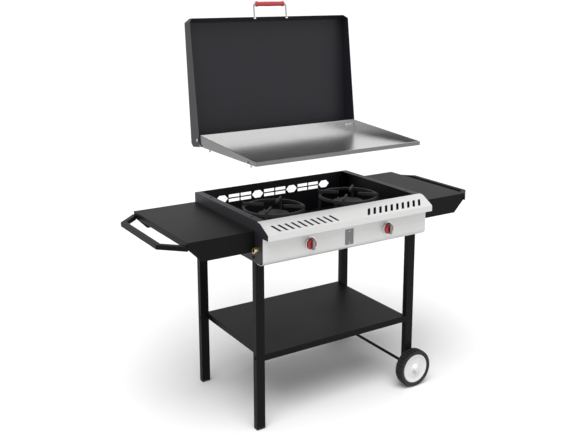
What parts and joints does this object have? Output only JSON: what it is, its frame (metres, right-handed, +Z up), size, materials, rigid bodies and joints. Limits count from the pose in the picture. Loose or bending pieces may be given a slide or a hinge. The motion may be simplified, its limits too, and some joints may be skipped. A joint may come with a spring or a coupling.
{
  "type": "wheeled camp stove",
  "caption": "Wheeled propane camp stove with burners under a lift-off griddle, a hinged lid, side tables with towel bars, control knobs and a lower shelf.",
  "frame": {"origin": "on the ground under the middle of the overall box, as pictured with the griddle lifted and the lid open", "axes": "+X to the wheel side, +Y to the back (the cook stands at -Y), +Z up"},
  "size_m": [1.2104, 0.532, 1.3182],
  "materials": {
    "black_paint": "satin black powder coat",
    "black_plastic": "matt black",
    "black_screws": "black plated",
    "brass_fittings": "plain brass",
    "bright_plating": "bright plating",
    "cast_burner": "dark casting",
    "ceramic": "white glaze",
    "griddle_steel": "smooth rolled steel",
    "raw_steel": "plain steel",
    "red_plastic": "glossy red",
    "stainless_panel": "light grey brushed stainless",
    "tyre_rubber": "matt black",
    "white_hub": "white moulded plastic"
  },
  "bodies": {
    "stand": {"axle_caps": "bright_plating", "axle_washers": "bright_plating", "bottom_shelf": "black_paint", "box_back_wall": "black_paint", "box_left_side": "black_paint", "box_right_side": "black_paint", "box_screws": "black_screws", "box_tray": "black_paint", "foot_plugs": "black_plastic", "front_panel": "stainless_panel", "gas_inlet": "brass_fittings", "gas_manifold": "raw_steel", "knob_bezels": "bright_plating", "left_burner_bowl": "cast_burner", "left_burner_cap": "cast_burner", "left_burner_tube": "raw_steel", "left_electrode": "ceramic", "left_pot_support": "cast_burner", "left_table": "black_paint", "left_towel_bar": "black_paint", "left_valve": "brass_fittings", "leg_back_left": "black_paint", "leg_back_right": "black_paint", "leg_front_left": "black_paint", "leg_front_right": "black_paint", "right_burner_bowl": "cast_burner", "right_burner_cap": "cast_burner", "right_burner_tube": "raw_steel", "right_electrode": "ceramic", "right_pot_support": "cast_burner", "right_table": "black_paint", "right_towel_bar": "black_paint", "right_valve": "brass_fittings", "shelf_bolts": "black_screws", "table_bolts": "black_screws", "wheel_axle": "bright_plating"},
    "griddle": {"griddle_plate": "griddle_steel", "griddle_pegs": "bright_plating", "left_hinge_bracket": "raw_steel", "right_hinge_bracket": "raw_steel", "hinge_bolts": "bright_plating", "hinge_pins": "bright_plating", "lid_stop_pins": "bright_plating"},
    "lid": {"lid_shell": "black_paint", "lid_handle_rod": "bright_plating", "lid_handle_grip": "red_plastic", "lid_handle_nuts": "bright_plating"},
    "left_spindle_body": {"left_spindle": "bright_plating"},
    "right_spindle_body": {"right_spindle": "bright_plating"},
    "left_knob_body": {"left_knob": "red_plastic", "left_knob_skirt": "bright_plating"},
    "right_knob_body": {"right_knob": "red_plastic", "right_knob_skirt": "bright_plating"},
    "front_wheel": {"front_tyre": "tyre_rubber", "front_wheel_hub": "white_hub"},
    "back_wheel": {"back_tyre": "tyre_rubber", "back_wheel_hub": "white_hub"}
  },
  "joints": [
    {"name": "griddle_lift", "type": "slide", "parent": "stand", "child": "griddle", "axis": [0, 0, 1], "range_m": [-0.164, 0.15]},
    {"name": "lid_hinge", "type": "hinge", "parent": "griddle", "child": "lid", "pos_m": [0, 0.181, 0.8723], "axis": [1, 0, 0], "range_deg": [0, 97.5]},
    {"name": "left_valve_turn", "type": "hinge", "parent": "stand", "child": "left_spindle_body", "pos_m": [-0.15, -0.224, 0.602], "axis": [0, -1, 0], "range_deg": [0, 180]},
    {"name": "left_knob_push", "type": "slide", "parent": "left_spindle_body", "child": "left_knob_body", "axis": [0, 1, 0], "range_m": [0, 0.004], "stiffness_N_per_m": 1500, "springref_m": -0.002},
    {"name": "right_valve_turn", "type": "hinge", "parent": "stand", "child": "right_spindle_body", "pos_m": [0.15, -0.224, 0.602], "axis": [0, -1, 0], "range_deg": [0, 180]},
    {"name": "right_knob_push", "type": "slide", "parent": "right_spindle_body", "child": "right_knob_body", "axis": [0, 1, 0], "range_m": [0, 0.004], "stiffness_N_per_m": 1500, "springref_m": -0.002},
    {"name": "front_wheel_spin", "type": "hinge", "parent": "stand", "child": "front_wheel", "pos_m": [0.299, -0.214, 0.066], "axis": [0, 1, 0], "continuous": true},
    {"name": "back_wheel_spin", "type": "hinge", "parent": "stand", "child": "back_wheel", "pos_m": [0.299, 0.242, 0.066], "axis": [0, 1, 0], "continuous": true}
  ]
}
